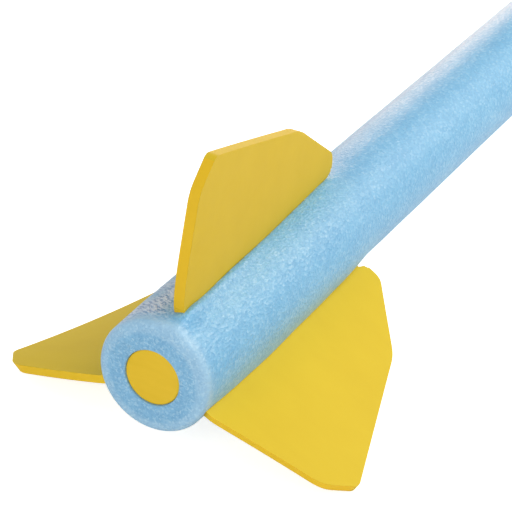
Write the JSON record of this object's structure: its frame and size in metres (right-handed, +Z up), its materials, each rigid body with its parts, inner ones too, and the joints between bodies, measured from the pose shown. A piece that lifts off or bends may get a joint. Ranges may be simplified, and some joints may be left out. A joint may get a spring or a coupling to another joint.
{
  "type": "foam javelin",
  "caption": "Soft foam javelin for school throwing games: a foam tube with sheet fins set in slots at its tail, a plugged bore and a rounded foam nose.",
  "frame": {"origin": "centre of the bounding box, on the floor that the javelin lies on", "axes": "+X from tail to nose, +Y to the left seen from behind, +Z up, with the javelin lying on its two lower fins and its nose"},
  "size_m": [0.9008, 0.2224, 0.1739],
  "materials": {
    "tube_foam": "light blue closed-cell polyethylene foam with a fine-celled skin",
    "fin_foam": "smooth matte yellow EVA sheet foam",
    "plug_foam": "matte yellow EVA foam"
  },
  "bodies": {
    "root": {"foam_tube": "tube_foam", "fin_top": "fin_foam", "fin_right": "fin_foam", "fin_left": "fin_foam", "tail_plug": "plug_foam", "nose_cap": "plug_foam"}
  },
  "joints": []
}
